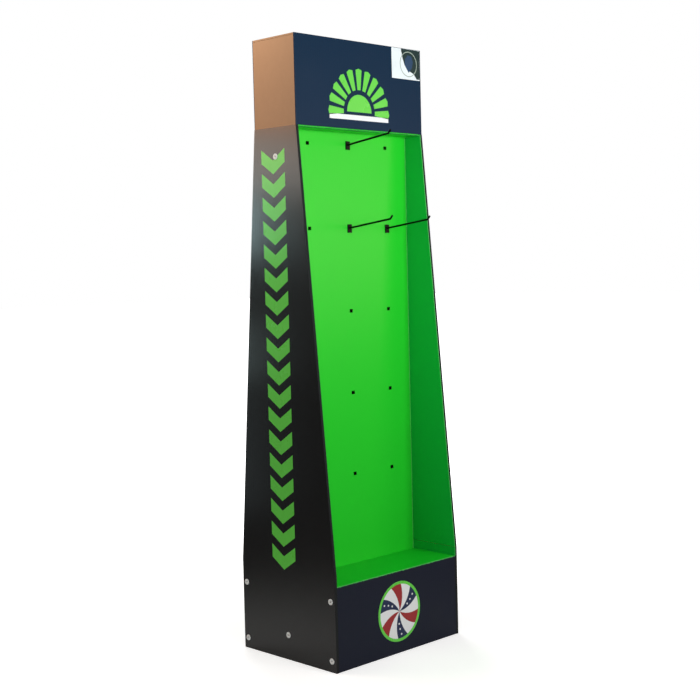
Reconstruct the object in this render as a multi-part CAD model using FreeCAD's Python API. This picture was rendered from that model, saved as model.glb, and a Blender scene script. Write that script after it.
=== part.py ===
import FreeCAD
import Part
import math
import os

# Two-sided cardboard display stand, in millimetres.
# It is modelled about its own middle: X across, front towards -Y, Z up from the floor.

# Board, creases and clearances
board = 4.0                 # thickness of the corrugated board, every sheet
wall_gap = 0.3              # air between the two layers of a side wall
fit_gap = 0.3               # clearance between neighbouring sheets
knife_cut = 0.6             # width of a cut between two flaps of one sheet
crease_radius = 1.6         # rounding on the outside of a crease
overshoot = 1.0             # how far cutting tools run past what they cut
tolerance = 1e-6            # two edges closer than this lie in one place

# Body
stand_width = 457.0
base_depth = 347.0
base_height = 237.0         # height at which the sides begin to taper
body_height = 1340.0
top_depth = 155.8

# Hook spine
spine_depth = 46.0
ceiling_flange = 60.0       # height of the ceiling flap's end, turned up inside the header
glue_tab = 30.0

# Holes for the hooks
hole_width = 11.0
hole_height = 9.0
hole_columns = 3
hole_rows = 5
column_pitch = 140.8
row_pitch = 213.6
top_row_drop = 36.0         # from the top of the body down to the top row

# Apron and shelf
shelf_height = 213.0
apron_recess = 1.0          # apron's face behind the side walls' front edges
shelf_tab = 45.0            # tab at the shelf's inner edge, glued to the spine
side_flange = 45.0          # apron's side flanges, riveted to the side walls
flange_lift = 6.0           # flange's lower edge above the floor

# Header box
header_height = 221.0
header_inset = 1.0          # header's sides inside the body's sides
dust_flap = 70.0
tuck_flap = 45.0
tuck_side_cut = 3.0         # how much narrower the tuck flap is on each side

# Sticker on the header
sticker_width = 108.0
sticker_height = 79.0
sticker_thickness = 0.3
sticker_side_margin = 4.0   # from the header's right edge
sticker_top_margin = 1.0

# Push rivets in two parts
rivet_hole_radius = 4.0
rivet_head_radius = 7.5
rivet_head_height = 2.0
rivet_head_rounding = 1.2
rivet_shank_radius = 3.7
rivet_bore_radius = 2.3
rivet_mouth_radius = 3.2    # the bore's mouth widens to this in the cap's face
rivet_mouth_depth = 0.9
rivet_pin_radius = 2.1
rivet_pin_sink = 3.0        # pin's end below the cap's face
rivet_seat = 0.1            # clearance under both heads
rivet_shank_short = 1.5     # shank ends this far inside the last board
stud_head_height = 1.5
base_rivet_edge = 16.0      # from the side wall's vertical edge
base_rivet_low = 28.0
base_rivet_high = 176.0
spine_rivet_low = 64.0
spine_rivet_top_drop = 72.0

# Peg hooks
plate_width = 14.0
plate_height = 22.0
plate_thickness = 3.0
plate_rounding = 0.8
arm_radius = 2.5
arm_reach = 147.0           # from the panel's face to the bend
arm_rise_angle = 6.8        # degrees above level
arm_root_lift = 1.5         # arm's root above the hole's centre
tip_length = 10.0
tip_angle = 48.0            # degrees above level
neck_width = 8.0
neck_height = 6.6
neck_drop_gap = 0.2         # neck above the hole's lower edge
prong_thickness = 4.0
prong_rise = 12.0           # prong above the neck, behind the panel

# Worked out from the sizes above
wall = 2 * board + wall_gap
half_width = stand_width / 2
half_base = base_depth / 2
half_top = top_depth / 2
half_spine = spine_depth / 2
taper = (half_base - half_top) / (body_height - base_height)
spine_half_width = half_width - board - fit_gap
bay_half_width = half_width - wall - fit_gap
header_top = body_height + header_height
header_half_width = half_width - header_inset
ceiling_reach = half_top - board - fit_gap
top_row = body_height - top_row_drop
panel_face = -half_spine
arm_rise = math.radians(arm_rise_angle)
tip_rise = math.radians(tip_angle)
tip_reach = arm_reach + tip_length * math.cos(tip_rise) + arm_radius
front_overhang = max(0.0, half_spine + tip_reach - half_base)
middle_y = front_overhang / 2


def block(x0, x1, y0, y1, z0, z1):
    """A box between two corners."""
    corner = FreeCAD.Vector(x0, y0, z0)
    return Part.makeBox(x1 - x0, y1 - y0, z1 - z0, corner)


def profile(points, x0, x1):
    """A plate with its outline in the YZ plane, from x0 to x1."""
    corners = [FreeCAD.Vector(x0, y, z) for y, z in points]
    face = Part.Face(Part.makePolygon(corners + corners[:1]))
    return face.extrude(FreeCAD.Vector(x1 - x0, 0, 0))


def rod_x(radius, x0, x1, y, z):
    """A round bar along X."""
    start = FreeCAD.Vector(x0, y, z)
    return Part.makeCylinder(radius, x1 - x0, start, FreeCAD.Vector(1, 0, 0))


def rod_between(radius, start, end):
    """A round bar from one point to another."""
    along = end - start
    return Part.makeCylinder(radius, along.Length, start, along)


def fuse(pieces):
    """One solid from several that touch or overlap."""
    return pieces[0].multiFuse(pieces[1:]).removeSplitter()


def only_solid(shape):
    """The single solid that a sheet has to be."""
    if len(shape.Solids) != 1:
        raise ValueError("a sheet fell into %d solids" % len(shape.Solids))
    return shape.Solids[0]


def round_edges(shape, radius, chosen):
    """Round the straight edges that the test picks."""
    edges = [edge for edge in shape.Edges if chosen(edge)]
    return shape.makeFillet(radius, edges)


def edge_ends(edge):
    """Both ends of an edge."""
    return edge.Vertexes[0].Point, edge.Vertexes[-1].Point


def same(a, b):
    """Whether two lengths are equal, as far as a model can tell."""
    return abs(a - b) < tolerance


def mirror_x(shape):
    """The same piece on the other side of the stand."""
    return shape.mirror(FreeCAD.Vector(0, 0, 0), FreeCAD.Vector(1, 0, 0))


def mirror_y(shape):
    """The same piece on the rear of the stand."""
    return shape.mirror(FreeCAD.Vector(0, 0, 0), FreeCAD.Vector(0, 1, 0))


def half_depth(z):
    """Half the depth of a side wall at a height."""
    return half_base - taper * max(0.0, z - base_height)


def side_outline(inset, low, high):
    """The side wall's outline in the YZ plane, drawn in from its front and rear edges."""
    rear = [(half_depth(z) - inset, z) for z in (low, base_height, high)]
    front = [(-y, z) for y, z in reversed(rear)]
    return rear + front


def base_rivet_places():
    """Front and rear, low and high: where the aprons are riveted to a side wall."""
    edge = half_base - base_rivet_edge
    return [(y, z) for y in (-edge, edge) for z in (base_rivet_low, base_rivet_high)]


def spine_rivet_places():
    """Low and high on the centre line: where the spine is riveted to a side wall."""
    return [(0.0, spine_rivet_low), (0.0, body_height - spine_rivet_top_drop)]


def rivet_holes(places, x0, x1):
    """Round cutters along X for a set of rivets."""
    return [rod_x(rivet_hole_radius, x0, x1, y, z) for y, z in places]


def left_side_wall():
    """One sheet folded round its front and rear edges into a double wall."""
    outer_x = -half_width
    sheet = profile(side_outline(0.0, 0.0, body_height), outer_x, outer_x + wall)

    def on_fold_line(edge):
        start, end = edge_ends(edge)
        at_edge = all(same(abs(p.y), half_depth(p.z)) for p in (start, end))
        return at_edge and abs(start.z - end.z) > board
    sheet = round_edges(sheet, crease_radius, on_fold_line)

    air = profile(side_outline(board, -overshoot, body_height + overshoot),
                  outer_x + board, outer_x + board + wall_gap)
    flap_end = half_spine + fit_gap
    between_flaps = block(outer_x + board, outer_x + wall + overshoot,
                          -flap_end, flap_end, -overshoot, body_height + overshoot)
    slit_low = base_height - knife_cut / 2
    flap_slit = block(outer_x + board, outer_x + wall + overshoot,
                      -half_base - overshoot, half_base + overshoot,
                      slit_low, slit_low + knife_cut)
    places = base_rivet_places() + spine_rivet_places()
    holes = rivet_holes(places, outer_x - overshoot, outer_x + wall + overshoot)
    return only_solid(sheet.cut([air, between_flaps, flap_slit] + holes))


def hook_hole_places():
    """Centres of the hook holes, as (x, z)."""
    columns = [(i - (hole_columns - 1) / 2) * column_pitch for i in range(hole_columns)]
    rows = [top_row - j * row_pitch for j in range(hole_rows)]
    return [(x, z) for z in rows for x in columns]


def front_ceiling():
    """The spine's top flap, folded forward and then up behind the header's front."""
    flap = block(-bay_half_width, bay_half_width, -ceiling_reach, panel_face + board,
                 body_height - board, body_height)
    flange = block(-bay_half_width, bay_half_width, -ceiling_reach, board - ceiling_reach,
                   body_height - board, body_height + ceiling_flange)
    return flap.fuse(flange)


def hook_spine():
    """One sheet glued into a flat tube, with its two top flaps as the ceilings."""
    outside = block(-spine_half_width, spine_half_width, -half_spine, half_spine, 0, body_height)
    inside = block(board - spine_half_width, spine_half_width - board,
                   board - half_spine, half_spine - board, -overshoot, body_height + overshoot)
    tab = block(board - spine_half_width, board - spine_half_width + glue_tab,
                half_spine - 2 * board, half_spine - board, 0, body_height)
    ceiling = front_ceiling()
    tube = fuse([outside.cut(inside), tab, ceiling, mirror_y(ceiling)])

    def on_fold_line(edge):
        start, end = edge_ends(edge)
        upright = same(start.x, end.x) and same(start.y, end.y)
        corner = same(abs(start.x), spine_half_width) and same(abs(start.y), half_spine)
        nose = all(same(abs(p.y), ceiling_reach) and same(p.z, body_height - board)
                   for p in (start, end))
        return (upright and corner) or nose
    tube = round_edges(tube, crease_radius, on_fold_line)

    tools = [block(x - hole_width / 2, x + hole_width / 2,
                   -half_spine - overshoot, half_spine + overshoot,
                   z - hole_height / 2, z + hole_height / 2)
             for x, z in hook_hole_places()]
    tools += rivet_holes(spine_rivet_places(), -half_width, half_width)
    return only_solid(tube.cut(tools))


def front_apron_shelf():
    """One sheet: the front panel, its riveted side flanges, the shelf and the shelf's glued tab."""
    face_y = -half_base + apron_recess
    tab_y = -(half_spine + fit_gap)
    apron = block(-bay_half_width, bay_half_width, face_y, face_y + board, 0, shelf_height)
    shelf = block(-bay_half_width, bay_half_width, face_y, tab_y, shelf_height - board, shelf_height)
    tab = block(-bay_half_width, bay_half_width, tab_y - board, tab_y,
                shelf_height - shelf_tab, shelf_height)
    flange = block(-bay_half_width, board - bay_half_width, face_y, face_y + board + side_flange,
                   flange_lift, shelf_height - board - knife_cut)
    sheet = fuse([apron, shelf, tab, flange, mirror_x(flange)])

    def on_fold_line(edge):
        start, end = edge_ends(edge)
        return all(same(p.y, face_y) and same(p.z, shelf_height) for p in (start, end))
    sheet = round_edges(sheet, crease_radius, on_fold_line)
    return only_solid(sheet.cut(rivet_holes(base_rivet_places(), -half_width, half_width)))


def header_box():
    """One sheet: four walls, two dust flaps and a top that tucks in behind the front."""
    half_x = header_half_width
    wall_top = header_top - board - knife_cut
    inner_x = half_x - board
    inner_y = half_top - board
    outside = block(-half_x, half_x, -half_top, half_top, body_height, header_top)
    inside = block(-inner_x, inner_x, -inner_y, inner_y, body_height - overshoot, header_top + overshoot)
    walls = outside.cut(inside)

    def on_corner(edge):
        start, end = edge_ends(edge)
        upright = same(start.x, end.x) and same(start.y, end.y)
        return upright and same(abs(start.x), half_x) and same(abs(start.y), half_top)
    walls = round_edges(walls, crease_radius, on_corner)
    side_trim = block(-half_x - overshoot, half_x + overshoot, -inner_y, inner_y,
                      wall_top, header_top + overshoot)
    walls = walls.cut(side_trim)

    top_front = -(inner_y - fit_gap)
    top = block(-half_x, half_x, top_front, inner_y, header_top - board, header_top)
    tuck_half = inner_x - tuck_side_cut
    tuck = block(-tuck_half, tuck_half, top_front, top_front + board,
                 header_top - board - tuck_flap, header_top)
    dust = block(-half_x + board / 2, -inner_x + dust_flap, -inner_y + board + 2 * fit_gap,
                 inner_y - knife_cut, wall_top - board, wall_top)
    tab_low = body_height + ceiling_flange + fit_gap
    tab = block(-inner_x, -inner_x + glue_tab, inner_y - board, inner_y,
                tab_low, wall_top - board - fit_gap)
    box = fuse([walls, top, tuck, dust, mirror_x(dust), tab])
    return only_solid(box)


def header_sticker():
    """A paper label stuck to the header's front, at its top right corner."""
    right = header_half_width - sticker_side_margin
    high = header_top - sticker_top_margin
    return block(right - sticker_width, right, -half_top - sticker_thickness, -half_top,
                 high - sticker_height, high)


def rivet(grip):
    """Cap and stud of a push rivet along +X, its outer head on x = 0, through boards grip thick."""
    origin = FreeCAD.Vector(-rivet_seat, 0, 0)
    outward = FreeCAD.Vector(-1, 0, 0)
    head = Part.makeCylinder(rivet_head_radius, rivet_head_height, origin, outward)
    face_x = -rivet_seat - rivet_head_height
    rim = [edge for edge in head.Edges if same(edge.CenterOfMass.x, face_x)]
    head = head.makeFillet(rivet_head_rounding, rim)
    shank_end = grip - rivet_shank_short
    shank = rod_x(rivet_shank_radius, -rivet_seat - rivet_head_height / 2, shank_end, 0, 0)
    bore = rod_x(rivet_bore_radius, face_x - overshoot, shank_end + overshoot, 0, 0)
    mouth = Part.makeCone(rivet_mouth_radius, rivet_bore_radius, rivet_mouth_depth,
                          FreeCAD.Vector(face_x, 0, 0), FreeCAD.Vector(1, 0, 0))
    cap = head.fuse(shank).cut([bore, mouth]).removeSplitter()

    stud_seat = grip + rivet_seat
    stud_head = rod_x(rivet_head_radius, stud_seat, stud_seat + stud_head_height, 0, 0)
    rim = [edge for edge in stud_head.Edges
           if same(edge.CenterOfMass.x, stud_seat + stud_head_height)]
    stud_head = stud_head.makeFillet(stud_head_height / 2, rim)
    pin = rod_x(rivet_pin_radius, face_x + rivet_pin_sink, stud_seat + stud_head_height / 2, 0, 0)
    stud = stud_head.fuse(pin).removeSplitter()
    return only_solid(cap), only_solid(stud)


def rivet_sets(grip, places):
    """The caps and the studs of like rivets, on both sides of the stand."""
    caps = []
    studs = []
    for y, z in places:
        for piece, group in zip(rivet(grip), (caps, studs)):
            piece.translate(FreeCAD.Vector(-half_width, y, z))
            group += [piece, mirror_x(piece)]
    return Part.makeCompound(caps), Part.makeCompound(studs)


def peg_hook(x, z):
    """A one-piece hook hung in the front hole whose centre is (x, z)."""
    plate_back = panel_face - fit_gap
    plate_front = plate_back - plate_thickness
    plate = block(x - plate_width / 2, x + plate_width / 2, plate_front, plate_back,
                  z - plate_height / 2, z + plate_height / 2)
    face_edges = [edge for edge in plate.Edges
                  if all(same(vertex.Point.y, plate_front) for vertex in edge.Vertexes)]
    plate = plate.makeFillet(plate_rounding, face_edges)

    neck_low = z - hole_height / 2 + neck_drop_gap
    neck_high = neck_low + neck_height
    prong_front = panel_face + board + fit_gap
    neck = block(x - neck_width / 2, x + neck_width / 2, plate_back - plate_thickness / 2,
                 prong_front + prong_thickness, neck_low, neck_high)
    prong = block(x - neck_width / 2, x + neck_width / 2, prong_front,
                  prong_front + prong_thickness, neck_low, neck_high + prong_rise)

    root = FreeCAD.Vector(x, plate_front + plate_thickness / 2, z + arm_root_lift)
    bend_y = panel_face - arm_reach
    bend = FreeCAD.Vector(x, bend_y, root.z + (root.y - bend_y) * math.tan(arm_rise))
    tip = bend + FreeCAD.Vector(0, -math.cos(tip_rise), math.sin(tip_rise)) * tip_length
    arm = [rod_between(arm_radius, root, bend), Part.makeSphere(arm_radius, bend),
           rod_between(arm_radius, bend, tip), Part.makeSphere(arm_radius, tip)]
    return only_solid(fuse([plate, neck, prong] + arm))


def build():
    """Every node of the stand, by name."""
    apron = front_apron_shelf()
    side = left_side_wall()
    nodes = {
        "left_side_wall": side,
        "right_side_wall": mirror_x(side),
        "hook_spine": hook_spine(),
        "front_apron_shelf": apron,
        "rear_apron_shelf": mirror_y(apron),
        "header_box": header_box(),
        "header_sticker": header_sticker(),
    }
    base_grip = wall + fit_gap + board
    spine_grip = board + fit_gap + board
    nodes["base_rivet_caps"], nodes["base_rivet_studs"] = rivet_sets(base_grip, base_rivet_places())
    nodes["spine_rivet_caps"], nodes["spine_rivet_studs"] = rivet_sets(spine_grip, spine_rivet_places())
    second_row = top_row - row_pitch
    nodes["peg_hook_top_middle"] = peg_hook(0.0, top_row)
    nodes["peg_hook_second_middle"] = peg_hook(0.0, second_row)
    nodes["peg_hook_second_right"] = peg_hook(column_pitch, second_row)
    return nodes


os.makedirs("parts", exist_ok=True)
for name, shape in build().items():
    # The hooks reach past the base, so the stand's middle lies a little behind the outline's.
    shape.translate(FreeCAD.Vector(0, middle_y, 0))
    shape.exportStep("parts/%s.step" % name)
    print(name, len(shape.Solids), round(shape.Volume), shape.isValid())
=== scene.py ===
import math
import bpy
import bmesh
from mathutils import Matrix, Vector


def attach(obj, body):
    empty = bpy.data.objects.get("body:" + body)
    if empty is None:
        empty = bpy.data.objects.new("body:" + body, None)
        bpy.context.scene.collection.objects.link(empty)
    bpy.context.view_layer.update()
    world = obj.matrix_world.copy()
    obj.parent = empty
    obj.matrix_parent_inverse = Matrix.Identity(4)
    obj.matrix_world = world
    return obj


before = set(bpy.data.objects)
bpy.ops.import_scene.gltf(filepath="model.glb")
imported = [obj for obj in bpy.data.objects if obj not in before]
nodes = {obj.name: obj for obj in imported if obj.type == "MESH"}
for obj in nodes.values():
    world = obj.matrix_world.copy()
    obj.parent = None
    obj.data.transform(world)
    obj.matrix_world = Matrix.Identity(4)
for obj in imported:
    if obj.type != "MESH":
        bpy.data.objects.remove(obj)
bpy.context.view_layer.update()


# Side walls. Each is one sheet of corrugated board, printed satin black outside and green inside, folded
# round its front and rear edges into a double wall. The print is worn where the sheet is folded, with a
# painted highlight laid along the folds, and the black round the folds is painted darker as shade. The green
# inside is painted darker and bluer than the shelf's green as cool shade, and darker still towards the shelf.
# Raw kraft shows where it is cut.
BOARD = 0.004
HALF_WIDTH = 0.2285
HALF_BASE = 0.1735
HALF_TOP = 0.0779
BASE_HEIGHT = 0.237
BODY_HEIGHT = 1.340
TAPER = (HALF_BASE - HALF_TOP) / (BODY_HEIGHT - BASE_HEIGHT)
MIDDLE_Y = 0.002846
WALL = 0.0083
WRAP_DEPTH = 0.0073
SHELF_HEIGHT = 0.213
FOLD_LINE = 0.0013
FLUTE_PITCH = 0.0075
FLUTE_EDGE = (0.10, 0.28)
RUB_EDGE = (0.52, 0.80)
FOLD_BREAKUP_SCALE = 160.0
FOLD_BREAKUP_BORDER = 2.2
INK_BORDER = 0.0002
PAINTED_SHADE_TOP = 0.90
FACES_THIS_WAY = (0.6, 0.8)
RAW_ROUGHNESS = 0.85
FOLD_ROUGHNESS = 0.90
RELIEF_DEPTH = 0.0005
FOLD_BLACK_AND_SHADE = (0.0020, 0.0050, 0.0060, 1)
SIDE_BLACK = (0.0105, 0.0100, 0.0100, 1)
RUBBED_BLACK = (0.020, 0.019, 0.018, 1)
CRACKED_AND_HIGHLIT_BLACK = (0.030, 0.028, 0.026, 1)
BAY_GREEN = (0.011, 0.600, 0.026, 1)
# Green print inside the side walls, painted darker and bluer than the shelf's green as cool shade.
WALL_GREEN_AND_COOL_SHADE = (0.008, 0.520, 0.065, 1)
# Lighter green of worn folds, lighter still as a painted highlight along them.
WORN_AND_HIGHLIT_GREEN = (0.12, 0.56, 0.14, 1)
KRAFT = (0.50, 0.30, 0.17, 1)
KRAFT_SHADE = (0.20, 0.11, 0.055, 1)


class Wiring:
    """Short ways to add shader nodes to a tree and to join them."""

    def __init__(self, tree):
        self.tree = tree

    def feed(self, socket, value):
        if isinstance(value, bpy.types.NodeSocket):
            self.tree.links.new(value, socket)
        else:
            socket.default_value = value

    def math(self, kind, a, b=0.0, c=0.0):
        node = self.tree.nodes.new("ShaderNodeMath")
        node.operation = kind
        for socket, value in zip(node.inputs, (a, b, c)):
            self.feed(socket, value)
        return node.outputs[0]

    def axes(self, vector):
        node = self.tree.nodes.new("ShaderNodeSeparateXYZ")
        self.feed(node.inputs[0], vector)
        return node.outputs[0], node.outputs[1], node.outputs[2]

    def step(self, value, low, high):
        """0 at low, 1 at high, smooth between; low may be the larger of the two."""
        node = self.tree.nodes.new("ShaderNodeMapRange")
        node.interpolation_type = "SMOOTHSTEP"
        self.feed(node.inputs["Value"], value)
        self.feed(node.inputs["From Min"], low)
        self.feed(node.inputs["From Max"], high)
        return node.outputs["Result"]

    def fade(self, value, low, high):
        """1 at low, 0 at high, straight between."""
        node = self.tree.nodes.new("ShaderNodeMapRange")
        self.feed(node.inputs["Value"], value)
        self.feed(node.inputs["From Min"], low)
        self.feed(node.inputs["From Max"], high)
        node.inputs["To Min"].default_value = 1.0
        node.inputs["To Max"].default_value = 0.0
        return node.outputs["Result"]

    def mix(self, share, a, b):
        node = self.tree.nodes.new("ShaderNodeMix")
        node.data_type = "RGBA"
        self.feed(node.inputs["Factor"], share)
        self.feed(node.inputs["A"], a)
        self.feed(node.inputs["B"], b)
        return node.outputs["Result"]

    def cloud(self, place, scale, detail, roughness=0.5):
        """A cloudy pattern, mostly near 0.5."""
        node = self.tree.nodes.new("ShaderNodeTexNoise")
        node.inputs["Detail"].default_value = detail
        node.inputs["Roughness"].default_value = roughness
        self.feed(node.inputs["Vector"], place)
        self.feed(node.inputs["Scale"], scale)
        return node.outputs["Fac"]


class Surface(Wiring):
    """One of the stand's materials, with the places and directions on the piece that wears it."""

    def __init__(self, name):
        self.material = bpy.data.materials.new(name)
        self.material.use_nodes = True
        super().__init__(self.material.node_tree)
        self.shader = self.tree.nodes["Principled BSDF"]
        place = self.tree.nodes.new("ShaderNodeTexCoord")
        self.place = place.outputs["Object"]
        self.facing = place.outputs["Normal"]

    def effect(self, group, **values):
        """Place one of the shared effects and give its outputs."""
        node = self.tree.nodes.new("ShaderNodeGroup")
        node.node_tree = group
        for name, value in values.items():
            self.feed(node.inputs[name.replace("_", " ")], value)
        return node.outputs

    def rubbed(self, marks, share, plain, marked):
        """The plain colour, with the worn one let in where the handling marks lie."""
        return self.mix(self.math("MULTIPLY", marks["Marks"], share), plain, marked)

    def rougher(self, roughness, where, least):
        """The given roughness, raised to the least one inside a mask."""
        return self.math("MAXIMUM", roughness, self.math("MULTIPLY", where, least))

    def finish(self, colour, roughness, height, depth, gloss=0.5):
        """Join the surface's parts to its shader."""
        self.shader.inputs["Specular IOR Level"].default_value = gloss
        bump = self.tree.nodes.new("ShaderNodeBump")
        bump.inputs["Distance"].default_value = depth
        self.feed(bump.inputs["Height"], height)
        self.feed(self.shader.inputs["Base Color"], colour)
        self.feed(self.shader.inputs["Roughness"], roughness)
        self.feed(self.shader.inputs["Normal"], bump.outputs["Normal"])
        return self.material


def shaded(colour, share):
    """A colour with all its parts made weaker or stronger."""
    return [share * part for part in colour[:3]] + [1]


def new_effect(name, inputs, outputs):
    """A shader node group with named sockets: its wiring, and the sockets of its start and end."""
    group = bpy.data.node_groups.new(name, "ShaderNodeTree")
    for socket, kind, value in inputs:
        made = group.interface.new_socket(socket, in_out="INPUT", socket_type="NodeSocket" + kind)
        if value is not None:
            made.default_value = value
    for socket, kind in outputs:
        group.interface.new_socket(socket, in_out="OUTPUT", socket_type="NodeSocket" + kind)
    start = group.nodes.new("NodeGroupInput").outputs
    end = group.nodes.new("NodeGroupOutput").inputs
    return Wiring(group), start, end


def flute_count(group, start):
    """How many flutes lie between a place and the stand's middle, counted across either kind of wall."""
    x, y, _ = group.axes(start["Place"])
    return group.math("DIVIDE", group.math("ADD", x, y), start["Flute Pitch"])


def flute_relief():
    """Flutes that show faintly through the liner, and the slow waviness of a large sheet."""
    group, start, end = new_effect(
        "flute_relief",
        [("Place", "Vector", None), ("Flute Pitch", "Float", FLUTE_PITCH),
         ("Flute Share", "Float", 0.035), ("Wave Scale", "Float", 3.0)],
        [("Height", "Float")])
    ridge = group.math("SINE", group.math("MULTIPLY", flute_count(group, start), 2 * math.pi))
    wave = group.cloud(start["Place"], start["Wave Scale"], detail=2.0)
    group.feed(end["Height"], group.math("ADD", group.math("MULTIPLY", ridge, start["Flute Share"]), wave))
    return group.tree


def cut_edge():
    """The colour of a raw cut through the board: pale liners and fluting over the gaps between flutes,
    painted darker as shade.
    """
    group, start, end = new_effect(
        "cut_edge",
        [("Place", "Vector", None), ("Liner", "Color", KRAFT), ("Gap", "Color", KRAFT_SHADE),
         ("Flute Pitch", "Float", FLUTE_PITCH)],
        [("Colour", "Color")])
    between_flutes = group.math("PINGPONG", flute_count(group, start), 0.5)
    share = group.step(between_flutes, *FLUTE_EDGE)
    group.feed(end["Colour"], group.mix(share, start["Liner"], start["Gap"]))
    return group.tree


def handling_marks():
    """Faint rubs and dust from handling: a mask for the colour and a roughness around the given one."""
    group, start, end = new_effect(
        "handling_marks",
        [("Place", "Vector", None), ("Mark Scale", "Float", 9.0), ("Roughness", "Float", 0.4),
         ("Roughness Spread", "Float", 0.08)],
        [("Marks", "Float"), ("Roughness", "Float")])
    rubs = group.cloud(start["Place"], start["Mark Scale"], detail=6.0, roughness=0.62)
    centred = group.math("SUBTRACT", rubs, 0.5)
    spread = group.math("MULTIPLY_ADD", centred, start["Roughness Spread"], start["Roughness"])
    group.feed(end["Marks"], group.step(rubs, *RUB_EDGE))
    group.feed(end["Roughness"], spread)
    return group.tree


def fold_wear_and_painted_light():
    """A mask along a fold, full at the fold and broken up at its border: where the printed liner has cracked,
    and where a painted highlight or painted shade lies along the fold.
    """
    group, start, end = new_effect(
        "fold_wear_and_painted_light",
        [("Place", "Vector", None), ("Distance", "Float", 0.0), ("Width", "Float", 0.002),
         ("Wear", "Float", 0.6)],
        [("Mask", "Float")])
    grain = group.cloud(start["Place"], FOLD_BREAKUP_SCALE, detail=3.0)
    reach = group.math("MULTIPLY", grain, start["Width"])
    border = group.math("MULTIPLY", reach, FOLD_BREAKUP_BORDER)
    marked = group.math("MULTIPLY", group.fade(start["Distance"], reach, border), start["Wear"])
    group.feed(end["Mask"], marked)
    return group.tree


FLUTE_RELIEF = flute_relief()
CUT_EDGE = cut_edge()
HANDLING_MARKS = handling_marks()
FOLD_WEAR_AND_PAINTED_LIGHT = fold_wear_and_painted_light()


def side_board():
    """Black outside and round the folds, green inside."""
    ink = Surface("side_board_print")
    x, y, z = ink.axes(ink.place)
    facing = ink.axes(ink.facing)
    facing_z = ink.math("ABSOLUTE", facing[2])
    on_fold = ink.step(ink.math("ABSOLUTE", facing[1]), *FACES_THIS_WAY)
    x_out = ink.math("ABSOLUTE", x)
    y_out = ink.math("ABSOLUTE", ink.math("SUBTRACT", y, MIDDLE_Y))
    above_base = ink.math("MAXIMUM", ink.math("SUBTRACT", z, BASE_HEIGHT), 0.0)
    half_depth = ink.math("SUBTRACT", HALF_BASE, ink.math("MULTIPLY", above_base, TAPER))
    from_fold = ink.math("SUBTRACT", half_depth, y_out)
    wrap_end = HALF_WIDTH - WRAP_DEPTH
    outside = ink.step(x_out, wrap_end - INK_BORDER, wrap_end + INK_BORDER)
    beside_apron = ink.math("LESS_THAN", z, SHELF_HEIGHT)
    at_front = ink.math("LESS_THAN", from_fold, BOARD)
    outside = ink.math("MAXIMUM", outside, ink.math("MULTIPLY", beside_apron, at_front))
    marks = ink.effect(HANDLING_MARKS, Place=ink.place, Mark_Scale=7.0, Roughness=0.24, Roughness_Spread=0.05)
    inner_fold = ink.effect(FOLD_WEAR_AND_PAINTED_LIGHT, Place=ink.place, Distance=from_fold, Width=FOLD_LINE, Wear=0.85)
    from_corner = ink.math("ADD", from_fold, ink.math("SUBTRACT", HALF_WIDTH, x_out))
    outer_fold = ink.effect(FOLD_WEAR_AND_PAINTED_LIGHT, Place=ink.place, Distance=from_corner, Width=0.0012, Wear=0.15)
    # Painted shade: the green inside is darkened from 0.9 m down to the shelf.
    painted_low_shade = ink.step(z, PAINTED_SHADE_TOP, SHELF_HEIGHT)
    green = ink.mix(painted_low_shade, WALL_GREEN_AND_COOL_SHADE, shaded(WALL_GREEN_AND_COOL_SHADE, 0.82))
    # Along the inner folds the green is worn and carries a painted highlight.
    green = ink.mix(inner_fold["Mask"], green, WORN_AND_HIGHLIT_GREEN)
    black = ink.rubbed(marks, 0.15, SIDE_BLACK, RUBBED_BLACK)
    # At the outer corners of the folds the black is cracked and carries a faint painted highlight.
    black = ink.mix(outer_fold["Mask"], black, CRACKED_AND_HIGHLIT_BLACK)
    # The black round the folds is painted darker and bluer than the side's black, as shade.
    black = ink.mix(on_fold, black, FOLD_BLACK_AND_SHADE)
    printed = ink.mix(outside, green, black)
    edge = ink.effect(CUT_EDGE, Place=ink.place)
    raw = ink.step(facing_z, *FACES_THIS_WAY)
    colour = ink.mix(raw, printed, edge["Colour"])
    roughness = ink.rougher(marks["Roughness"], raw, RAW_ROUGHNESS)
    roughness = ink.rougher(roughness, on_fold, FOLD_ROUGHNESS)
    relief = ink.effect(FLUTE_RELIEF, Place=ink.place)
    return ink.finish(colour, roughness, relief["Height"], RELIEF_DEPTH)


SIDE_BOARD = side_board()


def dress(name, material):
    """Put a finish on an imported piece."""
    piece = nodes[name]
    piece.data.materials.clear()
    piece.data.materials.append(material)


for wall in ("left_side_wall", "right_side_wall"):
    dress(wall, SIDE_BOARD)


# Green motif on each side wall: a column of chevrons, screen printed on the black. Every chevron is the same
# layer of ink, repeated straight down the wall.
INK_DEPTH = 0.00012
CHEVRON_COUNT = 18
CHEVRON_STEP = 0.0585
CHEVRON_WIDTH = 0.086
CHEVRON_STROKE = 0.034
CHEVRON_RISE = 0.028
COLUMN_TOP = 1.287
COLUMN_Y = 0.010
MOTIF_GREEN = (0.130, 0.620, 0.070, 1)


def ink_material(name, colour, roughness):
    """One flat printing ink, slightly uneven in its gloss."""
    ink = Surface(name)
    marks = ink.effect(HANDLING_MARKS, Place=ink.place, Mark_Scale=14.0, Roughness=roughness,
                       Roughness_Spread=0.08)
    shade = ink.rubbed(marks, 0.4, colour, shaded(colour, 0.86))
    relief = ink.effect(FLUTE_RELIEF, Place=ink.place)
    return ink.finish(shade, marks["Roughness"], relief["Height"], RELIEF_DEPTH, gloss=0.35)


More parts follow.
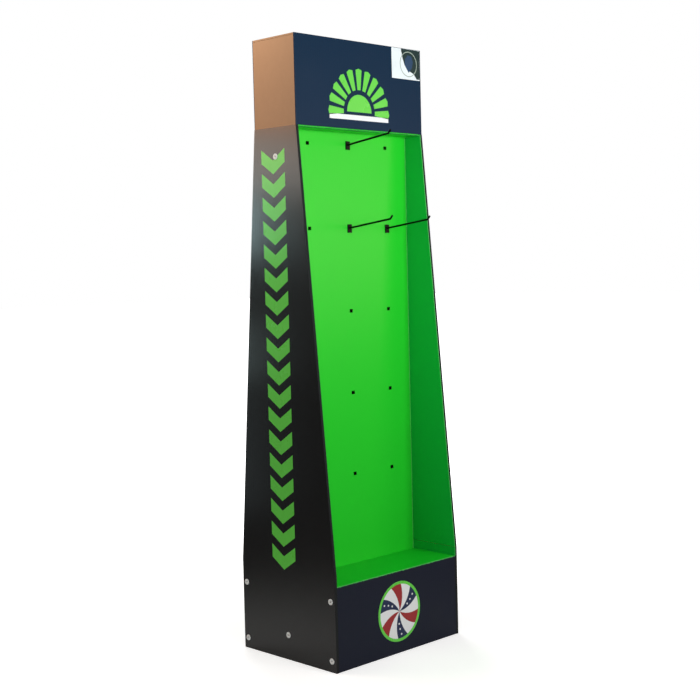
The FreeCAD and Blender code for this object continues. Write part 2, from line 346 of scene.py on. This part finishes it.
def printed_shape(name, outlines, to_stand):
    """A thin layer of ink from flat outlines, laid on the stand by a matrix whose Z points outwards."""
    mesh = bmesh.new()
    for outline in outlines:
        low = [mesh.verts.new((u, v, 0.0)) for u, v in outline]
        high = [mesh.verts.new((u, v, INK_DEPTH)) for u, v in outline]
        mesh.faces.new(high)
        mesh.faces.new(low[::-1])
        for i in range(len(outline)):
            j = (i + 1) % len(outline)
            mesh.faces.new((low[i], low[j], high[j], high[i]))
    mesh.transform(to_stand)
    bmesh.ops.recalc_face_normals(mesh, faces=mesh.faces)
    data = bpy.data.meshes.new(name)
    mesh.to_mesh(data)
    mesh.free()
    piece = bpy.data.objects.new(name, data)
    bpy.context.scene.collection.objects.link(piece)
    return piece


def row_tree():
    """Repeats a printed shape in a straight row."""
    tree = bpy.data.node_groups.new("row_of_prints", "GeometryNodeTree")
    for socket, kind in (("Shape", "Geometry"), ("Count", "Int"), ("Step", "Vector"), ("Ink", "Material")):
        tree.interface.new_socket(socket, in_out="INPUT", socket_type="NodeSocket" + kind)
    tree.interface.new_socket("Row", in_out="OUTPUT", socket_type="NodeSocketGeometry")
    start = tree.nodes.new("NodeGroupInput").outputs
    end = tree.nodes.new("NodeGroupOutput").inputs
    line = tree.nodes.new("GeometryNodeMeshLine")
    line.mode = "OFFSET"
    tree.links.new(start["Count"], line.inputs["Count"])
    tree.links.new(start["Step"], line.inputs["Offset"])
    place = tree.nodes.new("GeometryNodeInstanceOnPoints")
    tree.links.new(line.outputs["Mesh"], place.inputs["Points"])
    tree.links.new(start["Shape"], place.inputs["Instance"])
    real = tree.nodes.new("GeometryNodeRealizeInstances")
    tree.links.new(place.outputs["Instances"], real.inputs["Geometry"])
    coat = tree.nodes.new("GeometryNodeSetMaterial")
    tree.links.new(real.outputs["Geometry"], coat.inputs["Geometry"])
    tree.links.new(start["Ink"], coat.inputs["Material"])
    tree.links.new(coat.outputs["Geometry"], end["Row"])
    return tree


def set_input(modifier, name, value):
    """Set one of a tree's named inputs by its socket's identifier."""
    for item in modifier.node_group.interface.items_tree:
        if item.item_type == "SOCKET" and item.in_out == "INPUT" and item.name == name:
            modifier[item.identifier] = value


def grow(piece, tree, **values):
    """Run a tree on a piece and keep its result as a plain mesh."""
    modifier = piece.modifiers.new("grow", "NODES")
    modifier.node_group = tree
    for name, value in values.items():
        set_input(modifier, name.replace("_", " "), value)
    bpy.context.view_layer.update()
    result = bpy.data.meshes.new_from_object(piece.evaluated_get(bpy.context.evaluated_depsgraph_get()))
    piece.modifiers.remove(modifier)
    result.name = piece.name
    piece.data = result
    return piece


def set_on(corner, right, up):
    """The matrix that lays a flat drawing on the stand, its outside along right x up."""
    right, up = Vector(right), Vector(up)
    return Matrix.Translation(corner) @ Matrix((right, up, right.cross(up))).transposed().to_4x4()


MOTIF_INK = ink_material("motif_green_ink", MOTIF_GREEN, 0.28)
ROW_TREE = row_tree()
chevron = [(-CHEVRON_WIDTH / 2, CHEVRON_RISE), (-CHEVRON_WIDTH / 2, CHEVRON_RISE - CHEVRON_STROKE),
           (0, -CHEVRON_STROKE), (CHEVRON_WIDTH / 2, CHEVRON_RISE - CHEVRON_STROKE),
           (CHEVRON_WIDTH / 2, CHEVRON_RISE), (0, 0)]
for side, name in ((-1, "left_side_chevrons"), (1, "right_side_chevrons")):
    top = (side * HALF_WIDTH, MIDDLE_Y + COLUMN_Y, COLUMN_TOP - CHEVRON_RISE)
    column = printed_shape(name, [chevron], set_on(top, (0, side, 0), (0, 0, 1)))
    grow(column, ROW_TREE, Count=CHEVRON_COUNT, Step=(0.0, 0.0, -CHEVRON_STEP), Ink=MOTIF_INK)
    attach(column, "root")


# Hook spine. One green sheet glued into a flat tube, with three columns of small holes punched through
# both of its faces, and its top flaps folded out as the ceilings. Inside, it is bare kraft, painted dark as
# shade behind the holes. The ceilings' front folds are painted dark green as the shadow under the header.
HALF_SPINE = 0.023
PUNCHED_REACH = 0.195
PRINT_SKIN = 0.0003
UPTURN_START = 0.0015
CORNER_GAP = 0.0012
SPINE_RELIEF = 0.0006
PANEL_GREEN = (0.0165, 0.580, 0.022, 1)
RUBBED_GREEN = (0.018, 0.500, 0.024, 1)
NOSE_SHADE_GREEN = (0.010, 0.130, 0.045, 1)
TUBE_SHADE_BROWN = (0.016, 0.011, 0.007, 1)


def spine_board():
    """Green outside, kraft inside the tube, in the punched holes and above the ceilings; dark as painted
    shade in the punched part of the tube.
    """
    ink = Surface("spine_board_print")
    x, y, z = ink.axes(ink.place)
    facing = ink.axes(ink.facing)
    y_out = ink.math("ABSOLUTE", ink.math("SUBTRACT", y, MIDDLE_Y))
    in_tube = ink.math("LESS_THAN", y_out, HALF_SPINE - PRINT_SKIN)
    above = ink.math("GREATER_THAN", z, BODY_HEIGHT - PRINT_SKIN)
    on_top = ink.math("MULTIPLY", above, ink.math("GREATER_THAN", facing[2], FACES_THIS_WAY[0]))
    upturned = ink.math("GREATER_THAN", z, BODY_HEIGHT + UPTURN_START)
    raw = ink.math("MAXIMUM", in_tube, ink.math("MAXIMUM", on_top, upturned))
    marks = ink.effect(HANDLING_MARKS, Place=ink.place, Mark_Scale=5.0, Roughness=0.32, Roughness_Spread=0.06)
    nose_y = ink.math("SUBTRACT", HALF_TOP - BOARD - PRINT_SKIN, y_out)
    nose_z = ink.math("SUBTRACT", z, BODY_HEIGHT - BOARD)
    nose = ink.math("ADD", ink.math("ABSOLUTE", nose_y), ink.math("ABSOLUTE", nose_z))
    fold = ink.effect(FOLD_WEAR_AND_PAINTED_LIGHT, Place=ink.place, Distance=nose, Width=0.0026, Wear=0.8)
    x_out = ink.math("ABSOLUTE", x)
    from_wall = ink.math("ABSOLUTE", ink.math("SUBTRACT", x_out, HALF_WIDTH - WALL - CORNER_GAP))
    corner = ink.effect(FOLD_WEAR_AND_PAINTED_LIGHT, Place=ink.place, Distance=from_wall, Width=0.0020, Wear=0.55)
    green = ink.rubbed(marks, 0.35, PANEL_GREEN, RUBBED_GREEN)
    # Painted shade: the ceilings' front fold is painted dark green, as the shadow under the header.
    green = ink.mix(fold["Mask"], green, NOSE_SHADE_GREEN)
    # At the corners beside the walls the green is worn and carries a painted highlight.
    green = ink.mix(corner["Mask"], green, WORN_AND_HIGHLIT_GREEN)
    edge = ink.effect(CUT_EDGE, Place=ink.place)
    facing_z = ink.math("ABSOLUTE", facing[2])
    kraft = ink.mix(ink.step(facing_z, *FACES_THIS_WAY), KRAFT, edge["Colour"])
    # Painted shade: the kraft inside the tube is painted dark along the punched part.
    punched = ink.math("MULTIPLY", in_tube, ink.math("LESS_THAN", x_out, PUNCHED_REACH))
    kraft = ink.mix(punched, kraft, TUBE_SHADE_BROWN)
    colour = ink.mix(raw, green, kraft)
    roughness = ink.rougher(marks["Roughness"], raw, RAW_ROUGHNESS)
    relief = ink.effect(FLUTE_RELIEF, Place=ink.place)
    return ink.finish(colour, roughness, relief["Height"], SPINE_RELIEF, gloss=0.25)


dress("hook_spine", spine_board())


# Front and rear aprons. Each is one sheet: a dark panel at the foot that folds back into the green shelf,
# riveted to the side walls by its flanges and glued to the spine by its tab.
APRON_RECESS = 0.001
APRON_SKIN = 0.0006
APRON_RELIEF = 0.0006
APRON_DARK = (0.0120, 0.0150, 0.0280, 1)
RUBBED_APRON = (0.018, 0.019, 0.023, 1)


def apron_board():
    """Dark in front, green on the shelf, kraft on the back of the sheet."""
    ink = Surface("apron_board_print")
    _, y, z = ink.axes(ink.place)
    facing = ink.axes(ink.facing)
    y_out = ink.math("ABSOLUTE", ink.math("SUBTRACT", y, MIDDLE_Y))
    behind_face = ink.math("SUBTRACT", HALF_BASE - APRON_RECESS, y_out)
    below_top = ink.math("SUBTRACT", SHELF_HEIGHT, z)
    front = ink.math("LESS_THAN", behind_face, APRON_SKIN)
    top = ink.math("LESS_THAN", below_top, APRON_SKIN)
    marks = ink.effect(HANDLING_MARKS, Place=ink.place, Mark_Scale=8.0, Roughness=0.45, Roughness_Spread=0.10)
    corner = ink.math("ADD", behind_face, below_top)
    fold = ink.effect(FOLD_WEAR_AND_PAINTED_LIGHT, Place=ink.place, Distance=corner, Width=0.0022, Wear=0.75)
    dark = ink.rubbed(marks, 0.2, APRON_DARK, RUBBED_APRON)
    edge = ink.effect(CUT_EDGE, Place=ink.place)
    facing_low = ink.math("MULTIPLY", facing[2], -1.0)
    kraft = ink.mix(ink.step(facing_low, *FACES_THIS_WAY), KRAFT, edge["Colour"])
    colour = ink.mix(front, kraft, dark)
    colour = ink.mix(top, colour, BAY_GREEN)
    # Along the shelf's front fold the green is worn and carries a painted highlight.
    colour = ink.mix(fold["Mask"], colour, WORN_AND_HIGHLIT_GREEN)
    bare = ink.math("SUBTRACT", 1.0, ink.math("MAXIMUM", front, top))
    roughness = ink.rougher(marks["Roughness"], bare, RAW_ROUGHNESS)
    relief = ink.effect(FLUTE_RELIEF, Place=ink.place)
    return ink.finish(colour, roughness, relief["Height"], APRON_RELIEF, gloss=0.12)


APRON_BOARD = apron_board()
for apron in ("front_apron_shelf", "rear_apron_shelf"):
    dress(apron, APRON_BOARD)


# Pinwheel on the front apron: wedges of navy, white and red ink inside a green ring, with white dots on the
# navy wedges. It is printed flat on the board.
WHEEL_CENTRE = (-0.0005, MIDDLE_Y - HALF_BASE + APRON_RECESS, 0.108)
WHEEL_RADIUS = 0.078
WHEEL_RING = 0.0075
WEDGES = 12
WEDGE_TWIST = 0.42
INK_NAVY = (0.012, 0.022, 0.075, 1)
INK_WHITE = (0.80, 0.82, 0.84, 1)
INK_RED = (0.33, 0.022, 0.026, 1)
DOT_RADIUS = 0.0026
DOT_PLACES = (0.46, 0.66, 0.86)
FRONT_AXIS = (0.0, -1.0, 0.0)


def round_tree():
    """Repeats a printed shape round a centre, a whole number of times."""
    tree = bpy.data.node_groups.new("ring_of_prints", "GeometryNodeTree")
    for socket, kind in (("Shape", "Geometry"), ("Count", "Int"), ("Turn", "Float"), ("Axis", "Vector"),
                         ("Centre", "Vector"), ("Ink", "Material")):
        tree.interface.new_socket(socket, in_out="INPUT", socket_type="NodeSocket" + kind)
    tree.interface.new_socket("Ring", in_out="OUTPUT", socket_type="NodeSocketGeometry")
    start = tree.nodes.new("NodeGroupInput").outputs
    end = tree.nodes.new("NodeGroupOutput").inputs
    line = tree.nodes.new("GeometryNodeMeshLine")
    line.mode = "OFFSET"
    line.inputs["Offset"].default_value = (0, 0, 0)
    tree.links.new(start["Count"], line.inputs["Count"])
    tree.links.new(start["Centre"], line.inputs["Start Location"])
    number = tree.nodes.new("GeometryNodeInputIndex")
    angle = tree.nodes.new("ShaderNodeMath")
    angle.operation = "MULTIPLY"
    tree.links.new(number.outputs[0], angle.inputs[0])
    tree.links.new(start["Turn"], angle.inputs[1])
    turn = tree.nodes.new("FunctionNodeAxisAngleToRotation")
    tree.links.new(start["Axis"], turn.inputs["Axis"])
    tree.links.new(angle.outputs[0], turn.inputs["Angle"])
    place = tree.nodes.new("GeometryNodeInstanceOnPoints")
    tree.links.new(line.outputs["Mesh"], place.inputs["Points"])
    tree.links.new(start["Shape"], place.inputs["Instance"])
    tree.links.new(turn.outputs["Rotation"], place.inputs["Rotation"])
    real = tree.nodes.new("GeometryNodeRealizeInstances")
    tree.links.new(place.outputs["Instances"], real.inputs["Geometry"])
    coat = tree.nodes.new("GeometryNodeSetMaterial")
    tree.links.new(real.outputs["Geometry"], coat.inputs["Geometry"])
    tree.links.new(start["Ink"], coat.inputs["Material"])
    tree.links.new(coat.outputs["Geometry"], end["Ring"])
    return tree


def arc(radius, start, end, steps):
    """Points on a circle round the origin."""
    span = end - start
    return [(radius * math.cos(start + span * i / steps), radius * math.sin(start + span * i / steps))
            for i in range(steps + 1)]


def curved_line(radius, angle, twist, steps):
    """Points from the centre outwards on a line that bends round as it goes."""
    points = []
    for i in range(1, steps + 1):
        share = i / steps
        turned = angle + twist * share
        points.append((radius * share * math.cos(turned), radius * share * math.sin(turned)))
    return points


FRONT = ((1, 0, 0), (0, 0, 1))
ROUND_TREE = round_tree()
wedge_angle = 2 * math.pi / WEDGES
rim = WHEEL_RADIUS - WHEEL_RING
wedge = ([(0, 0)] + curved_line(rim, 0.0, WEDGE_TWIST, 6)
         + arc(rim, WEDGE_TWIST, WEDGE_TWIST + wedge_angle, 4)[1:-1]
         + curved_line(rim, wedge_angle, WEDGE_TWIST, 6)[::-1])
ring_wedge = (arc(WHEEL_RADIUS, 0.0, wedge_angle, 4) + arc(rim, wedge_angle, 0.0, 4))
for name, ink, first, count, outline in (
        ("front_wheel_navy", ink_material("wheel_navy_ink", INK_NAVY, 0.42), 0, 3, wedge),
        ("front_wheel_white", ink_material("wheel_white_ink", INK_WHITE, 0.42), 1, 6, wedge),
        ("front_wheel_red", ink_material("wheel_red_ink", INK_RED, 0.42), 2, 3, wedge),
        ("front_wheel_ring", MOTIF_INK, 0, WEDGES, ring_wedge)):
    turn = 2 * math.pi / count
    start = Matrix.Rotation(first * wedge_angle, 4, "Z")
    part = printed_shape(name, [outline], set_on((0, 0, 0), *FRONT) @ start)
    grow(part, ROUND_TREE, Count=count, Turn=turn, Axis=FRONT_AXIS, Centre=WHEEL_CENTRE, Ink=ink)
    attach(part, "root")
dots = []
for share in DOT_PLACES:
    turned = wedge_angle / 2 + WEDGE_TWIST * share
    dots.append([(u + rim * share * math.cos(turned), v + rim * share * math.sin(turned))
                 for u, v in arc(DOT_RADIUS, 0.0, 2 * math.pi, 10)[:-1]])
on_navy = (WHEEL_CENTRE[0], WHEEL_CENTRE[1] - INK_DEPTH, WHEEL_CENTRE[2])
spots = printed_shape("front_wheel_dots", dots, set_on((0, 0, 0), *FRONT))
grow(spots, ROUND_TREE, Count=3, Turn=2 * math.pi / 3, Axis=FRONT_AXIS, Centre=on_navy,
     Ink=bpy.data.materials["wheel_white_ink"])
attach(spots, "root")


# Header box. One folded sheet with a tucked top, printed navy on its front and rear, left as bare kraft
# board on its sides and top. It stands loose on the body, round the ceilings' turned-up ends.
HEADER_HALF_X = 0.2275
HEADER_TOP = 1.561
HEADER_NAVY = (0.0070, 0.0250, 0.0560, 1)
HEADER_WRAP = 0.0030
HEADER_RELIEF = 0.0006
KRAFT_ROUGHNESS = 0.62
FIBRE_STRETCH = (1.0, 1.0, 0.7)
FIBRE_SCALE = 90.0
RUBBED_NAVY = (0.014, 0.030, 0.060, 1)
CRACKED_AND_HIGHLIT_NAVY = (0.10, 0.075, 0.060, 1)
SIDE_KRAFT = (0.375, 0.212, 0.120, 1)
RIM_SHADE_DARK = (0.022, 0.045, 0.036, 1)


def header_board():
    """Navy front and rear with a narrow wrap round the corners, kraft elsewhere, with the level cut edges
    below its top painted dark as shade.
    """
    ink = Surface("header_board_print")
    x, y, z = ink.axes(ink.place)
    facing = ink.axes(ink.facing)
    y_out = ink.math("ABSOLUTE", ink.math("SUBTRACT", y, MIDDLE_Y))
    x_out = ink.math("ABSOLUTE", x)
    behind_face = ink.math("SUBTRACT", HALF_TOP, y_out)
    from_side = ink.math("SUBTRACT", HEADER_HALF_X, x_out)
    printed = ink.math("LESS_THAN", behind_face, HEADER_WRAP)
    marks = ink.effect(HANDLING_MARKS, Place=ink.place, Mark_Scale=8.0, Roughness=0.36, Roughness_Spread=0.06)
    corner = ink.math("ADD", behind_face, from_side)
    fold = ink.effect(FOLD_WEAR_AND_PAINTED_LIGHT, Place=ink.place, Distance=corner, Width=0.0012, Wear=0.15)
    navy = ink.rubbed(marks, 0.25, HEADER_NAVY, RUBBED_NAVY)
    # At the front corners the navy is cracked and carries a faint painted highlight.
    navy = ink.mix(fold["Mask"], navy, CRACKED_AND_HIGHLIT_NAVY)
    stretch = ink.tree.nodes.new("ShaderNodeMapping")
    stretch.inputs["Scale"].default_value = FIBRE_STRETCH
    ink.feed(stretch.inputs["Vector"], ink.place)
    fibres = ink.cloud(stretch.outputs["Vector"], FIBRE_SCALE, detail=5.0)
    kraft = ink.mix(fibres, shaded(SIDE_KRAFT, 0.95), shaded(SIDE_KRAFT, 1.05))
    # Painted shade: the level cut edges below the header's top are painted dark green-grey instead of kraft.
    inside_walls = ink.math("LESS_THAN", z, HEADER_TOP - BOARD)
    cut = ink.math("MULTIPLY", ink.step(ink.math("ABSOLUTE", facing[2]), *FACES_THIS_WAY), inside_walls)
    kraft = ink.mix(cut, kraft, RIM_SHADE_DARK)
    colour = ink.mix(printed, kraft, navy)
    bare = ink.math("SUBTRACT", 1.0, printed)
    roughness = ink.rougher(marks["Roughness"], bare, KRAFT_ROUGHNESS)
    relief = ink.effect(FLUTE_RELIEF, Place=ink.place, Flute_Share=0.04)
    return ink.finish(colour, roughness, relief["Height"], HEADER_RELIEF, gloss=0.08)


dress("header_box", header_board())


# Half sun on the header's front: a green disc and its rays above a white bar, printed flat on the navy.
SUN_CENTRE = (-0.008, MIDDLE_Y - HALF_TOP, 1.383)
SUN_RADIUS = 0.044
RAYS = 11
RAY_START = 0.056
RAY_END = 0.106
RAY_TIP = 0.110
RAY_ROOT_HALF = 0.0055
RAY_END_HALF = 0.0110
BAR_HALF = 0.106
BAR_DROP = 0.008
BAR_DEPTH = 0.0125

sun = printed_shape("header_sun", [arc(SUN_RADIUS, 0.0, math.pi, 24)], set_on(SUN_CENTRE, *FRONT))
sun.data.materials.append(MOTIF_INK)
ray = [(RAY_START, -RAY_ROOT_HALF), (RAY_END, -RAY_END_HALF), (RAY_TIP, 0.0), (RAY_END, RAY_END_HALF),
       (RAY_START, RAY_ROOT_HALF)]
rays = printed_shape("header_sun_rays", [ray], set_on((0, 0, 0), *FRONT))
grow(rays, ROUND_TREE, Count=RAYS, Turn=math.pi / (RAYS - 1), Axis=FRONT_AXIS, Centre=SUN_CENTRE,
     Ink=MOTIF_INK)
bar_low = -BAR_DROP - BAR_DEPTH
bar_outline = [(-BAR_HALF, bar_low), (BAR_HALF, bar_low), (BAR_HALF, -BAR_DROP), (-BAR_HALF, -BAR_DROP)]
bar = printed_shape("header_bar", [bar_outline], set_on(SUN_CENTRE, *FRONT))
bar.data.materials.append(ink_material("header_white_ink", INK_WHITE, 0.42))
for part in (sun, rays, bar):
    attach(part, "root")


# Sticker at the header's top right corner: a coated paper label, stuck flat on the header, with a dark field,
# a leaf and a pale ring round the leaf printed on it.
STICKER_FACE = MIDDLE_Y - HALF_TOP - 0.0003
STICKER_RIGHT = 0.2235
STICKER_TOP = 1.560
STICKER_WIDTH = 0.108
STICKER_HEIGHT = 0.079
FIELD_TEAL = (0.010, 0.034, 0.034, 1)
LEAF_NAVY = (0.020, 0.060, 0.130, 1)
RING_PALE = (0.34, 0.42, 0.36, 1)
RING_PLACE = (0.064, 0.040)
RING_RADIUS = 0.033
RING_STROKE = 0.0022
LABEL_WHITE = (0.78, 0.86, 0.90, 1)
RUBBED_LABEL = (0.66, 0.73, 0.77, 1)
FIELD_OUTLINE = [(0.096, 0.003), (0.1076, 0.003), (0.1076, 0.0786), (0.036, 0.0786), (0.042, 0.054),
                 (0.050, 0.036), (0.064, 0.024), (0.084, 0.016)]
LEAF_OUTLINE = [(0.0, -0.022), (0.013, -0.010), (0.018, 0.006), (0.012, 0.021), (-0.002, 0.024),
                (-0.013, 0.012), (-0.014, -0.004)]


def label_paper():
    """White coated paper with a faint grey cast."""
    ink = Surface("sticker_paper_face")
    marks = ink.effect(HANDLING_MARKS, Place=ink.place, Mark_Scale=30.0,
                       Roughness=0.35, Roughness_Spread=0.06)
    colour = ink.rubbed(marks, 0.5, LABEL_WHITE, RUBBED_LABEL)
    relief = ink.effect(FLUTE_RELIEF, Place=ink.place, Flute_Share=0.02)
    return ink.finish(colour, marks["Roughness"], relief["Height"], RELIEF_DEPTH)


dress("header_sticker", label_paper())
label_corner = (STICKER_RIGHT - STICKER_WIDTH, STICKER_FACE, STICKER_TOP - STICKER_HEIGHT)
field = printed_shape("sticker_field", [FIELD_OUTLINE], set_on(label_corner, *FRONT))
field.data.materials.append(ink_material("sticker_teal_ink", FIELD_TEAL, 0.35))
ring_centre = (label_corner[0] + RING_PLACE[0], STICKER_FACE - INK_DEPTH, label_corner[2] + RING_PLACE[1])
ring_piece = arc(RING_RADIUS, 0.0, wedge_angle, 3) + arc(RING_RADIUS - RING_STROKE, wedge_angle, 0.0, 3)
ring = printed_shape("sticker_ring", [ring_piece], set_on((0, 0, 0), *FRONT))
grow(ring, ROUND_TREE, Count=WEDGES, Turn=wedge_angle, Axis=FRONT_AXIS, Centre=ring_centre,
     Ink=ink_material("sticker_pale_ink", RING_PALE, 0.35))
leaf = printed_shape("sticker_leaf", [LEAF_OUTLINE], set_on(ring_centre, *FRONT))
leaf.data.materials.append(ink_material("sticker_navy_ink", LEAF_NAVY, 0.35))
for part in (field, ring, leaf):
    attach(part, "root")


# Push rivets of natural nylon: a cap outside, and a stud pressed into it from inside, the stud painted a
# darker grey than the cap as shade in the cap's centre. They hold the aprons and the spine to the side walls.
NYLON = (0.80, 0.80, 0.78, 1)
# Darker grey of the studs, painted shade in the caps' centres.
NYLON_PIN_PAINTED_SHADE = (0.30, 0.30, 0.29, 1)
MOULDED_RELIEF = 0.0001
NYLON_DEPTH = (0.002, 0.002, 0.002)


def nylon(name, colour):
    """Milky moulded plastic with a soft gloss."""
    plastic = Surface(name)
    marks = plastic.effect(HANDLING_MARKS, Place=plastic.place, Mark_Scale=120.0, Roughness=0.38,
                           Roughness_Spread=0.12)
    shade = plastic.rubbed(marks, 0.5, colour, shaded(colour, 0.75))
    material = plastic.finish(shade, marks["Roughness"], marks["Marks"], MOULDED_RELIEF)
    plastic.shader.inputs["Subsurface Weight"].default_value = 0.15
    plastic.shader.inputs["Subsurface Radius"].default_value = NYLON_DEPTH
    return material


CAP_NYLON = nylon("rivet_cap_nylon", NYLON)
PIN_NYLON_PAINTED_SHADE = nylon("rivet_pin_nylon", NYLON_PIN_PAINTED_SHADE)
for name, material in (("base_rivet_caps", CAP_NYLON), ("spine_rivet_caps", CAP_NYLON),
                       ("base_rivet_studs", PIN_NYLON_PAINTED_SHADE), ("spine_rivet_studs", PIN_NYLON_PAINTED_SHADE)):
    dress(name, material)


# Peg hooks, each one moulding of black plastic with a back plate, a round arm and an upturned tip. They are
# pushed into the spine's holes from the front.
HOOK_BLACK = (0.0020, 0.0026, 0.0022, 1)
HOOK_BLOOM = (0.004, 0.004, 0.004, 1)


def hook_plastic():
    """Black plastic with the fine bloom of a moulded surface."""
    plastic = Surface("hook_black_plastic")
    marks = plastic.effect(HANDLING_MARKS, Place=plastic.place, Mark_Scale=60.0, Roughness=0.40,
                           Roughness_Spread=0.16)
    shade = plastic.rubbed(marks, 0.5, HOOK_BLACK, HOOK_BLOOM)
    return plastic.finish(shade, marks["Roughness"], marks["Marks"], MOULDED_RELIEF, gloss=0.12)


HOOK_PLASTIC = hook_plastic()
for hook in ("peg_hook_top_middle", "peg_hook_second_middle", "peg_hook_second_right"):
    dress(hook, HOOK_PLASTIC)


# Studio: a pale paper floor, white surroundings and soft lamps. The paper is brightest round the stand, and
# what lies further off gives little light back, as in a large dim room.
FLOOR_SIZE = 60.0
PAPER_NEAR = (0.80, 0.80, 0.80, 1)
PAPER_FAR = (0.10, 0.10, 0.10, 1)
PAPER_RIM = (0.35, 1.30)
PAPER_GLOW = 0.55
ROOM_BRIGHT = 0.23
ROOM_IN_GLOSS = 0.09
LAMP_WHITE = (1.0, 1.0, 1.0)

bpy.ops.mesh.primitive_plane_add(size=FLOOR_SIZE)
floor = bpy.context.object
floor.name = "studio_floor"
paper = Surface("floor_paper")
x, y, z = paper.axes(paper.place)
out = paper.math("SQRT", paper.math("ADD", paper.math("MULTIPLY", x, x), paper.math("MULTIPLY", y, y)))
rays = paper.tree.nodes.new("ShaderNodeLightPath")
seen = rays.outputs["Is Camera Ray"]
unseen = paper.math("SUBTRACT", 1.0, seen)
darkened = paper.math("MULTIPLY", paper.step(out, *PAPER_RIM), unseen)
paper.feed(paper.shader.inputs["Base Color"], paper.mix(darkened, PAPER_NEAR, PAPER_FAR))
paper.shader.inputs["Roughness"].default_value = 0.9
paper.shader.inputs["Specular IOR Level"].default_value = 0.1
paper.shader.inputs["Emission Color"].default_value = (1.0, 1.0, 1.0, 1)
paper_light = paper.math("ADD", PAPER_GLOW, paper.step(out, *PAPER_RIM))
paper.feed(paper.shader.inputs["Emission Strength"], paper.math("MULTIPLY", seen, paper_light))
floor.data.materials.append(paper.material)

world = bpy.data.worlds.new("studio")
world.use_nodes = True
bpy.context.scene.world = world
sky = world.node_tree
rays = sky.nodes.new("ShaderNodeLightPath")
dim = sky.nodes.new("ShaderNodeMix")
dim.name = "dim_in_gloss"
dim.inputs["A"].default_value = ROOM_BRIGHT
dim.inputs["B"].default_value = ROOM_IN_GLOSS
sky.links.new(rays.outputs["Is Glossy Ray"], dim.inputs["Factor"])
white = sky.nodes.new("ShaderNodeMix")
white.inputs["B"].default_value = 1.0
sky.links.new(rays.outputs["Is Camera Ray"], white.inputs["Factor"])
sky.links.new(dim.outputs["Result"], white.inputs["A"])
glow = sky.nodes["Background"]
glow.inputs["Color"].default_value = (1.0, 1.0, 1.0, 1)
sky.links.new(white.outputs["Result"], glow.inputs["Strength"])


def lamp(name, place, aim, size, power, colour, beam=180.0):
    """A soft rectangular lamp, out of the camera's sight; a narrower beam darkens towards its rim."""
    data = bpy.data.lights.new(name, "AREA")
    data.shape = "RECTANGLE"
    data.size, data.size_y = size
    data.energy = power
    data.color = colour
    data.spread = math.radians(beam)
    light = bpy.data.objects.new(name, data)
    bpy.context.scene.collection.objects.link(light)
    light.location = place
    light.rotation_euler = (Vector(aim) - Vector(place)).to_track_quat("-Z", "Y").to_euler()
    light.visible_camera = False
    return light


lamp("front_left_lamp", place=(-0.75, -2.0, 1.25), aim=(0.0, 0.0, 1.45),
     size=(0.8, 0.8), power=5.6, colour=(0.90, 1.0, 1.0), beam=95.0)
lamp("front_lamp", place=(0.3, -2.2, 1.2), aim=(0.0, 0.0, 1.45),
     size=(0.8, 0.8), power=11.8, colour=LAMP_WHITE, beam=120.0)
lamp("front_right_lamp", place=(2.0, -2.4, 1.25), aim=(0.0, 0.0, 1.2),
     size=(1.3, 0.9), power=13.5, colour=(1.0, 0.66, 0.52))
lamp("header_lamp", place=(-0.48, 0.12, 1.80), aim=(-0.23, 0.0, 1.45),
     size=(0.24, 0.24), power=1.9, colour=(1.0, 0.97, 0.9))
lamp("left_lamp", place=(-3.2, -0.4, 1.6), aim=(0.0, 0.0, 1.0),
     size=(1.2, 1.2), power=10.0, colour=LAMP_WHITE)
lamp("side_glare_foot", place=(-0.85, 1.05, 0.36), aim=(-0.23, 0.0, 0.7),
     size=(0.3, 0.4), power=0.15, colour=(0.75, 0.95, 1.0))
lamp("side_glare_low", place=(-0.80, 1.0, 0.72), aim=(-0.23, 0.0, 0.9),
     size=(0.3, 0.2), power=0.27, colour=(0.75, 1.0, 1.0))
lamp("side_glare_middle", place=(-0.72, 1.0, 1.15), aim=(-0.23, 0.0, 1.1),
     size=(0.4, 0.2), power=2.3, colour=(0.68, 0.97, 1.0))
lamp("side_glare_high", place=(-0.85, 0.88, 1.35), aim=(-0.23, 0.0, 1.2),
     size=(0.7, 0.2), power=1.6, colour=(1.0, 0.93, 0.85))
lamp("side_glare_top", place=(-0.85, 0.88, 1.58), aim=(-0.23, 0.0, 1.3),
     size=(0.6, 0.2), power=3.4, colour=(1.0, 0.45, 0.2))
lamp("top_lamp", place=(0.0, -0.6, 3.6), aim=(0.0, -0.2, 0.5),
     size=(1.6, 1.6), power=4.0, colour=LAMP_WHITE)
lamp("rear_lamp", place=(2.0, 3.2, 2.4), aim=(0.0, 0.0, 0.8),
     size=(1.6, 1.6), power=60.0, colour=LAMP_WHITE)


# Camera, at the photograph's place and with its lens. The picture's lean is the camera's roll.
EYE = (-2.3491, -2.3835, 0.9937)
TURN, DIP, ROLL = math.radians(44.727), math.radians(3.760), math.radians(-1.387)
LENS = 65.76
ahead = Vector((math.sin(TURN) * math.cos(DIP), math.cos(TURN) * math.cos(DIP), -math.sin(DIP)))
level = Vector((math.cos(TURN), -math.sin(TURN), 0.0))
upright = level.cross(ahead)
right = math.cos(ROLL) * level + math.sin(ROLL) * upright
up = -math.sin(ROLL) * level + math.cos(ROLL) * upright
lens = bpy.data.cameras.new("photo_camera")
lens.lens = LENS
lens.sensor_width = 36.0
camera = bpy.data.objects.new("photo_camera", lens)
bpy.context.scene.collection.objects.link(camera)
camera.matrix_world = Matrix.Translation(EYE) @ Matrix((right, up, -ahead)).transposed().to_4x4()
bpy.context.scene.camera = camera
bpy.context.scene.view_settings.view_transform = "Standard"
